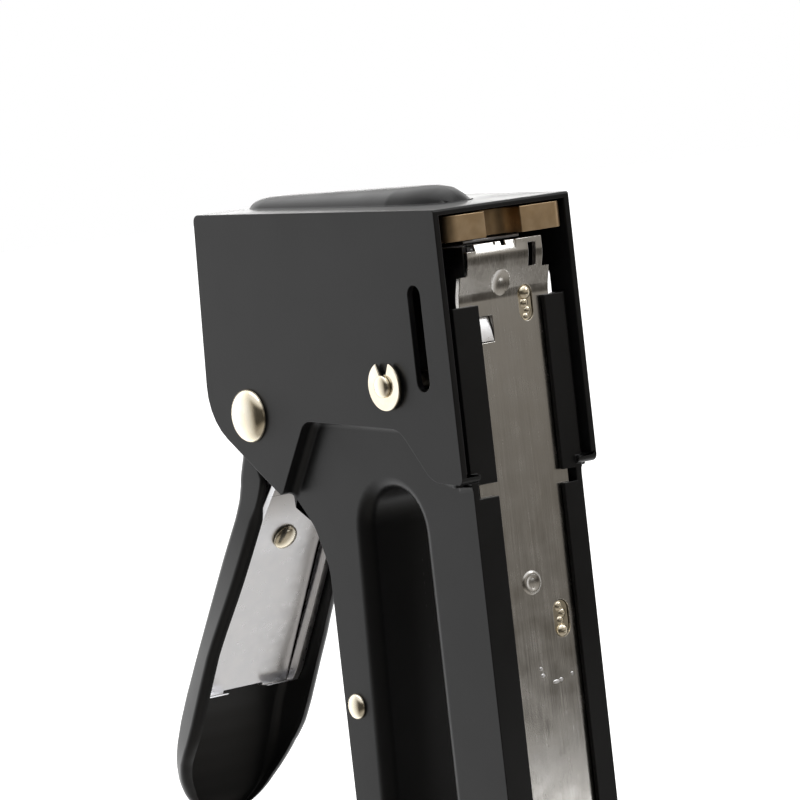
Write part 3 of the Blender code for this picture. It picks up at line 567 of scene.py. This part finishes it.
def clip_look():
    """Open retaining ring with rounded prongs; the mouth faces the nose."""
    low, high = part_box("front_pin_clip")
    pin_low, pin_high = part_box("front_pin")
    x, z = (pin_low.x + pin_high.x) / 2, (pin_low.z + pin_high.z) / 2
    outer, inner = (high.x - low.x) / 2, PIN_RADIUS - 0.45 * MM
    first = math.pi / 2 + CLIP_MOUTH
    turns = [first + (2 * math.pi - 2 * CLIP_MOUTH) * k / 48 for k in range(49)]
    outline = [Vector((x + outer * math.cos(t), 0, z + outer * math.sin(t))) for t in turns]
    outline += [
        Vector((x + inner * math.cos(t), 0, z + inner * math.sin(t))) for t in reversed(turns)
    ]
    rings = [[Vector((p.x, y, p.z)) for p in outline] for y in (low.y, high.y)]
    builder = bevelled(ring_mesh(rings), 0.16, 3, limit=60)
    mesh = as_mesh(builder, "front_pin_clip")
    placed("front_pin_clip_look", mesh, SLOT_OF["front_pin_clip"], "casing", "front_pin_clip")


def surface(name):
    """A tree of a CAD node's faces, to find where a line first meets it."""
    builder = bmesh.new()
    builder.from_mesh(frame["nodes"][name].data)
    tree = BVHTree.FromBMesh(builder)
    builder.free()
    return tree


def cover_half(z):
    """The cover's half width at its back, at this height."""
    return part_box("handle_cover")[1].y + COVER_SWELL * clamped((cover_neck - z) / NECK_FADE)


def cover_flare(z):
    """How much further apart the cover's free edges are, on each side."""
    return COVER_FLARE * clamped((flare_top - z) / FLARE_FADE)


def swept_section(web, edge, half, flare, z):
    """One level of the handle cover: web, round corners, flared walls and lips rolled inwards."""
    depth = edge - web
    wall = min(COVER_SHEET, 0.35 * depth, 0.5 * half)
    corner = min(COVER_CORNER, 0.45 * depth, 0.6 * half)
    lip = min(wall + LIP_ROLL * clamped((lip_top - z) / LIP_FADE), 0.5 * depth, 0.45 * half)
    outer = [(web, 0.0), (web, -(half - corner) / 2)]
    for t in (0.0, *quarter(6)):
        outer.append((web + corner * (1 - math.sin(t)), -half + corner * (1 - math.cos(t))))
    outer = outer[:2] + list(reversed(outer[2:]))
    for t in (0.0, *quarter(7)):
        outer.append((edge - lip * (1 - math.sin(t)), -half + lip * (1 - math.cos(t))))
    inner = []
    inner_lip = max(lip - wall, 0.02 * MM)
    for t in (*reversed(quarter(7)), 0.0):
        across = -half + wall + inner_lip * (1 - math.cos(t))
        inner.append((edge - wall - inner_lip * (1 - math.sin(t)), across))
    inner_corner = max(corner - wall, 0.02 * MM)
    for t in (0.0, *quarter(6)):
        across = -half + wall + inner_corner * (1 - math.cos(t))
        inner.append((web + wall + inner_corner * (1 - math.sin(t)), across))
    inner += [(web + wall, -(half - corner) / 2), (web + wall, 0.0)]
    right = outer + inner
    points = right + [(x, -y) for x, y in reversed(right[1:-1])]
    return [Vector((x, y * (1 + flare / half * (x - web) / depth), z)) for x, y in points]


def cover_look():
    """The squeeze lever's black channel, with rolled lips and a rounded tip."""
    tree = surface("handle_cover")
    low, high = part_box("handle_cover")

    def hit(way, y, z):
        start = Vector((low.x - 0.01 if way > 0 else high.x + 0.01, y, z))
        return tree.ray_cast(start, Vector((way, 0, 0)))[0]

    shallow = low.z + COVER_SPOON
    full_depth = hit(-1, -(high.y - 0.5 * MM), shallow).x - hit(1, RIVET_SIDE_STEP, shallow).x
    rings = []
    for k in range(COVER_LEVELS + 1):
        z = low.z + 0.25 * MM + (high.z - low.z - 1.2 * MM) * ((k / COVER_LEVELS) ** 1.25)
        narrow = math.sqrt(1 - (1 - clamped((z - low.z) / TIP_ROUND)) ** 2)
        half = cover_half(z) * narrow
        web = hit(1, min(RIVET_SIDE_STEP, (z - low.z) / 2), z).x
        if z < shallow:
            share = (z - low.z) / COVER_SPOON
            edge = web + TIP_DEPTH + (full_depth - TIP_DEPTH) * share
        else:
            found = hit(-1, -(high.y - 0.5 * MM), z)
            edge = max(found.x if found else web, web + COVER_LEAST)
        rings.append(swept_section(web, edge, half, cover_flare(z) * narrow, z))
    mesh = as_mesh(ring_mesh(rings), "handle_cover")
    placed("handle_cover_look", mesh, "black_paint", "lever", "handle_cover", smooth=50)


def core_look():
    """The plated channel: its plates follow the cover's walls, and its lower end is pressed up."""
    builder = bevelled(cad_copy("lever_core"), CORE_EDGE_MM)
    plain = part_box("lever_core")[1].y
    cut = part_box("lever_core")[0].z + CORE_END
    for vertex in builder.verts:
        room = cover_half(vertex.co.z) + cover_flare(vertex.co.z) * CORE_FLARE_SHARE - CORE_ROOM
        vertex.co.y *= 1 + (room / plain - 1) * clamped((flare_top - vertex.co.z) / NECK_FADE)
        if vertex.co.z < cut:
            rise = (cut - vertex.co.z) * CORE_END_PRESS
            vertex.co.z += rise
            vertex.co.x += rise * CORE_END_LEAN
    placed("lever_core_look", as_mesh(builder, "lever_core"), "zinc_plate", "lever", "lever_core")


def handle_rivet_look():
    """Rivet square to the lever's back: low head outside, small dome inside."""
    low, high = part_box("handle_rivet")
    middle = (low + high) / 2
    tree = surface("handle_cover")
    beside = Vector((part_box("handle_cover")[0].x - 0.01, RIVET_SIDE_STEP, middle.z))
    hit, normal = tree.ray_cast(beside, Vector((1, 0, 0)))[:2]
    centre = middle - normal * (middle - hit).dot(normal)
    centre.y = 0.0
    outside = dome(0.35 * MM, 0.65 * MM, 3.0 * MM)
    inside = dome(BACK_DEPTH, 1.0 * MM, 2.5 * MM)
    profile = outside + [(0.2 * MM, 1.5 * MM), (-BACK_DEPTH + 0.05 * MM, 1.5 * MM)]
    profile += [(-along, radius) for along, radius in reversed(inside)]
    mesh = as_mesh(turned(profile, centre, normal), "handle_rivet")
    placed("handle_rivet_look", mesh, "brass", "lever", "handle_rivet")


def joined(name, builders):
    """One mesh from several closed shapes."""
    whole = bmesh.new()
    for builder in builders:
        part = as_mesh(builder, name)
        whole.from_mesh(part)
        bpy.data.meshes.remove(part)
    return as_mesh(whole, name)


def on_strip(y_mm, below_top_mm):
    """A point on the strip's outer face, and the face's direction there."""
    start = Vector((strip_high.x + 0.01, y_mm * MM, strip_high.z - below_top_mm * MM))
    return strip_tree.ray_cast(start, Vector((-1, 0, 0)))[:2]


def strip_dimple(name, y_mm, below_top_mm):
    """A pressed ring with a shallow dish inside it."""
    place, normal = on_strip(y_mm, below_top_mm)
    profile = [(height * MM, radius * MM) for height, radius in DIMPLE_STEPS]
    mesh = as_mesh(turned(profile, place, normal, 40), name)
    placed(name, mesh, "strip_steel", "casing")


def strip_insert(name, y_mm, below_top_mm, length_mm, width_mm, bosses):
    """A pad inside a long slot, with small round bosses along it."""
    place = on_strip(y_mm, below_top_mm + length_mm + 2.5)[0]
    half = width_mm / 2 - 0.12
    top = strip_high.z - (below_top_mm + 0.12) * MM
    bottom = strip_high.z - (below_top_mm + length_mm - 0.12) * MM
    outline = []
    for k in range(25):
        t = math.pi * k / 24
        outline.append((half * MM * math.cos(t), top - half * MM + half * MM * math.sin(t)))
    for k in range(25):
        t = math.pi + math.pi * k / 24
        outline.append((half * MM * math.cos(t), bottom + half * MM + half * MM * math.sin(t)))
    face = place.x
    rings = [
        [Vector((face + depth, y_mm * MM + y, z)) for y, z in outline]
        for depth in (-0.95 * MM, -0.22 * MM)
    ]
    shapes = [bevelled(ring_mesh(rings), 0.12, 2)]
    for share, radius_mm, rise_mm, across_mm in bosses:
        z = top + (bottom - top) * share
        centre = Vector((face - 0.3 * MM, (y_mm + across_mm) * MM, z))
        profile = dome(0.0, rise_mm * MM, radius_mm * MM, 8)
        shapes.append(turned([*profile[:-1], (-0.2 * MM, radius_mm * MM)], centre, (1, 0, 0), 28))
    placed(name, joined(name, shapes), "brass", "casing")


def strip_tab():
    """The bright tongue bent inwards in the square hole."""
    face = on_strip(0.0, TAB_LOW)[0].x
    low_z, high_z = strip_high.z - TAB_LOW * MM, strip_high.z - TAB_HIGH * MM
    side_view = [
        (face + 0.05 * MM, low_z),
        (face - 0.35 * MM, (low_z + high_z) / 2),
        (face - 0.95 * MM, high_z),
        (face - 1.4 * MM, high_z - 0.1 * MM),
        (face - 0.85 * MM, (low_z + high_z) / 2),
        (face - 0.5 * MM, low_z),
    ]
    rings = [[Vector((x, y * MM, z)) for x, z in side_view] for y in TAB_SIDES]
    builder = bevelled(ring_mesh(rings), 0.1, 2)
    placed("strip_tab", as_mesh(builder, "strip_tab"), "zinc_plate", "casing")


def strip_burrs():
    """Small bright burrs and dents below the rear slot."""
    shapes = []
    for y_mm, below_top_mm, length_mm in BURRS:
        place, normal = on_strip(y_mm, below_top_mm)
        profile = dome(0.0, 0.12 * MM, 0.34 * MM, 6)
        burr = turned([*profile[:-1], (-0.08 * MM, 0.34 * MM)], Vector((0, 0, 0)), normal, 16)
        for vertex in burr.verts:
            vertex.co.y *= length_mm
            vertex.co += place
        shapes.append(burr)
    placed("strip_burrs", joined("strip_burrs", shapes), "zinc_plate", "casing")


def tube(path, radius, sides=10):
    """A round wire along a path, with flat ends."""
    rings = []
    normal = None
    for i, point in enumerate(path):
        ahead = (path[min(i + 1, len(path) - 1)] - path[max(i - 1, 0)]).normalized()
        if normal is None:
            normal = ahead.orthogonal().normalized()
        normal = (normal - ahead * normal.dot(ahead)).normalized()
        side = ahead.cross(normal)
        turns = [2 * math.pi * k / sides for k in range(sides)]
        rings.append([point + (normal * math.cos(t) + side * math.sin(t)) * radius for t in turns])
    return ring_mesh(rings)


def coil_look(name, axis, wire, turns, body):
    """A compression spring with closed end turns."""
    low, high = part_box(name)
    centre = (low + high) / 2
    axis = Vector(axis)
    length = abs((high - low).dot(axis))
    across = axis.orthogonal().normalized()
    up = axis.cross(across)
    size = high - low
    radius = (size.x + size.y + size.z - length) / 4 - wire
    start = centre - axis * (length / 2)
    count = turns * COIL_STEPS
    path = []
    for k in range(count + 1):
        done = turns * k / count
        free = clamped((done - 1) / (turns - 2))
        closed = min(done, 1.0) + max(0.0, done - turns + 1)
        along = wire + 2.1 * wire * closed + (length - 6.2 * wire) * free
        t = 2 * math.pi * done
        path.append(start + axis * along + (across * math.cos(t) + up * math.sin(t)) * radius)
    mesh = as_mesh(tube(path, wire), name)
    made = placed(f"{name}_look", mesh, "spring_steel", body, name)
    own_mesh(made)


def return_spring_look():
    """The torsion spring, its coil on the pivot, on no body and with its place baked into its mesh."""
    mesh = as_mesh(cad_copy("return_spring"), "return_spring")
    slot = SLOT_OF["return_spring"]
    made = placed("return_spring_look", mesh, slot, None, "return_spring", smooth=60)
    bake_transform(made)


def staple_stick_look():
    """The glued stick, with a fine groove between its wires."""
    low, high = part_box("staple_stick")
    wall = STAPLE_WALL
    wires = int((high.z - low.z) / STAPLE_WIRE)
    rings = []
    for k in range(wires):
        foot = low.z + (high.z - low.z) * k / wires
        for share, inset in ((0.06, 0.05 * MM), (0.3, 0.0), (0.7, 0.0), (0.94, 0.05 * MM)):
            z = foot + STAPLE_WIRE * share
            x0, x1 = low.x + inset, high.x
            y1 = high.y - inset
            y2 = high.y - wall + inset
            section = [(x1, -y1), (x0, -y1), (x0, y1), (x1, y1)]
            section += [(x1, y2), (low.x + wall - inset, y2), (low.x + wall - inset, -y2), (x1, -y2)]
            rings.append([Vector((x, y, z)) for x, y in section])
    mesh = as_mesh(ring_mesh(rings), "staple_stick")
    placed("staple_stick_look", mesh, "zinc_plate", "casing", "staple_stick")


head_half = -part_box("right_casing")[0].y
rear_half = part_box("arm_spacer")[1].y + 1.5 * MM
strip_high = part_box("magazine_base")[1]
strip_tree = surface("magazine_base")
lip_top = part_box("handle_cover")[1].z - 17.5 * MM
cover_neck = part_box("handle_cover")[1].z - 7.5 * MM
flare_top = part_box("handle_cover")[1].z - 19.5 * MM

# How far each node's edges are rounded, in millimetres
WIDTHS = {
    "nose_guide": 0.15,
    "magazine_base": 0.12,
    "staple_channel": 0.1,
    "plunger": 0.25,
    "driver_blade": 0.08,
    "staple_rail": 0.1,
    "drawer_cap": 0.15,
    "staple_pusher": 0.15,
    "bumper": 0.2,
}
for node_name, width in WIDTHS.items():
    refined(node_name, width)
casing_look("right_casing")
casing_look("left_casing")
cross_rivet("pivot_pin", head_half + RIVET_PROUD, PIVOT_SHANK)
cross_rivet("arm_rivet", rear_half + RIVET_PROUD, ARM_SHANK)
cross_rivet("tail_rivet", rear_half + RIVET_PROUD, ARM_SHANK)
front_pin_look()
clip_look()
cover_look()
core_look()
handle_rivet_look()
strip_dimple("strip_dimple_rear", -0.8, 58.5)
strip_insert("front_slot_insert", 4.6, 8.0, 6.2, 3.1, FRONT_BOSSES)
strip_insert("rear_slot_insert", 4.9, 62.3, 6.5, 3.4, REAR_BOSSES)
strip_tab()
strip_burrs()
return_spring_look()
coil_look("main_spring", (1, 0, 0), 0.65 * MM, 11, "casing")
coil_look("pusher_spring", (0, 0, 1), 0.3 * MM, 26, "drawer")
staple_stick_look()

replaced = {name for made in bpy.data.objects for name in made.get("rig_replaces", [])}
for node_name, cad_object in frame["nodes"].items():
    if node_name not in replaced:
        cad_object.data.materials.clear()
        cad_object.data.materials.append(FINISH[SLOT_OF[node_name]])


# Camera

AZIMUTH, ELEVATION, ROLL = (math.radians(v) for v in (52.026, 4.525, -6.429))
DISTANCE = 0.7898
FOCAL_MM = 202.75
shell_low, shell_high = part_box("right_casing")
target = Vector((shell_high.x - 0.033725, 0.0, shell_high.z - 0.0373))


def make_camera():
    data = bpy.data.cameras.new("camera")
    data.lens = FOCAL_MM
    data.sensor_width = 36.0
    data.clip_start, data.clip_end = 0.05, 50.0
    camera = bpy.data.objects.new("camera", data)
    scene.collection.objects.link(camera)
    back = Vector(
        (
            math.sin(AZIMUTH) * math.cos(ELEVATION),
            -math.cos(AZIMUTH) * math.cos(ELEVATION),
            math.sin(ELEVATION),
        )
    )
    right = (-back).cross(Vector((0, 0, 1))).normalized()
    up = right.cross(-back)
    rolled_right = right * math.cos(ROLL) + up * math.sin(ROLL)
    rolled_up = up * math.cos(ROLL) - right * math.sin(ROLL)
    place = target + back * DISTANCE
    camera.matrix_world = Matrix.Translation(place) @ Matrix(
        (rolled_right, rolled_up, back)
    ).transposed().to_4x4()
    scene.camera = camera


make_camera()


# Floor and light

DRAWER_ROOM = 0.112
FLOOR_GLOW = 0.45
WORLD_RANGE = (0.05, 1.75)
WORLD_OVERHEAD = 0.9
WORLD_GROUND = 0.4


def make_floor():
    """A pale floor, low enough for the drawer to come all the way out above it."""
    builder = bmesh.new()
    half = 6.0
    bmesh.ops.create_grid(builder, x_segments=8, y_segments=8, size=half)
    mesh = as_mesh(builder, "floor")
    floor = bpy.data.objects.new("floor", mesh)
    scene.collection.objects.link(floor)
    floor.location.z = cad_low.z - DRAWER_ROOM
    floor.visible_glossy = False
    made, tree, principled = shader(
        "pale_floor", {"Specular IOR Level": 0.2, "Emission Strength": FLOOR_GLOW}
    )
    principled.inputs["Emission Color"].default_value = (1.0, 1.0, 1.0, 1.0)
    colour = mix(tree, noise(tree, 300.0), (0.90, 0.90, 0.90), (0.92, 0.92, 0.92))
    rough = span(tree, noise(tree, 60.0), 0.3, 0.7, 0.7, 0.8)
    connect(tree, principled, Base_Color=colour, Roughness=rough)
    mesh.materials.append(made)


def make_world():
    """A white tent behind the gun, falling off to dark towards its base and right-hand side."""
    world = bpy.data.worlds.new("studio")
    scene.world = world
    world.use_nodes = True
    tree = world.node_tree
    background = tree.nodes["Background"]
    direction = node(tree, "ShaderNodeTexCoord").outputs["Generated"]

    def facing(*way):
        toward = Vector(way).normalized()
        inputs = {0: direction, 1: toward}
        return node(tree, "ShaderNodeVectorMath", inputs, operation="DOT_PRODUCT").outputs["Value"]

    height = node(tree, "ShaderNodeSeparateXYZ", {0: direction}).outputs["Z"]
    level = span(tree, facing(-0.906, 0.42, 0.0), -0.25, 0.62, *WORLD_RANGE)
    dip = span(tree, facing(-0.786, 0.613, 0.085), 0.93, 0.985, 1.0, 0.25)
    level = maths(tree, "MULTIPLY", level, dip)
    in_front = span(tree, facing(0.788, 0.615, 0.0), 0.4, 0.9)
    lift = maths(tree, "MULTIPLY", in_front, span(tree, height, -0.15, -0.035, 0.04, 0.36))
    overhead = span(tree, height, 0.30, 0.60, 0.0, WORLD_OVERHEAD)
    ground = span(tree, height, -0.3, -0.7, 0.0, WORLD_GROUND)
    lit = maths(tree, "MAXIMUM", maths(tree, "MAXIMUM", level, overhead), ground)
    lit = maths(tree, "MAXIMUM", lit, lift)
    tint = mix(tree, span(tree, lit, 0.1, 0.8), (1.0, 0.90, 0.76), (1.0, 1.0, 1.0))
    seen = node(tree, "ShaderNodeLightPath").outputs["Is Camera Ray"]
    strength = maths(tree, "MAXIMUM", lit, seen)
    colour = mix(tree, seen, tint, (1.0, 1.0, 1.0))
    tree.links.new(strength, background.inputs["Strength"])
    tree.links.new(colour, background.inputs["Color"])


def make_light(name, place, size, power, aim=None):
    data = bpy.data.lights.new(name, "AREA")
    data.shape = "RECTANGLE"
    data.size, data.size_y = size
    data.energy = power
    light = bpy.data.objects.new(name, data)
    scene.collection.objects.link(light)
    light.location = place
    facing = (aim or target) - Vector(place)
    light.rotation_mode = "QUATERNION"
    light.rotation_quaternion = facing.to_track_quat("-Z", "Y")
    light.visible_camera = False


make_floor()
make_world()
make_light("top_box", (0.0, 0.0, 1.6), (1.6, 1.6), 12.0, Vector((0, 0, 0)))
mirror_way = Vector((0.777, 0.606, -0.165))
strip_foot = Vector((shell_high.x - 0.002, 0.0, 0.036))
make_light("low_card", strip_foot + mirror_way * 0.25, (0.06, 0.02), 0.009, strip_foot)
nose_face = Vector((shell_high.x - 0.014, -0.006, 0.15))
nose_way = Vector((-0.786, 0.613, 0.085))
make_light("nose_card", nose_face + nose_way * 0.3, (0.12, 0.05), 0.10, nose_face)
strip_head = Vector((shell_high.x - 0.001, -0.002, 0.142))
high_way = Vector((0.611, 0.613, 0.496))
make_light("high_card", strip_head + high_way * 0.5, (0.16, 0.16), 0.35, strip_head)
scene.view_settings.view_transform = "Standard"
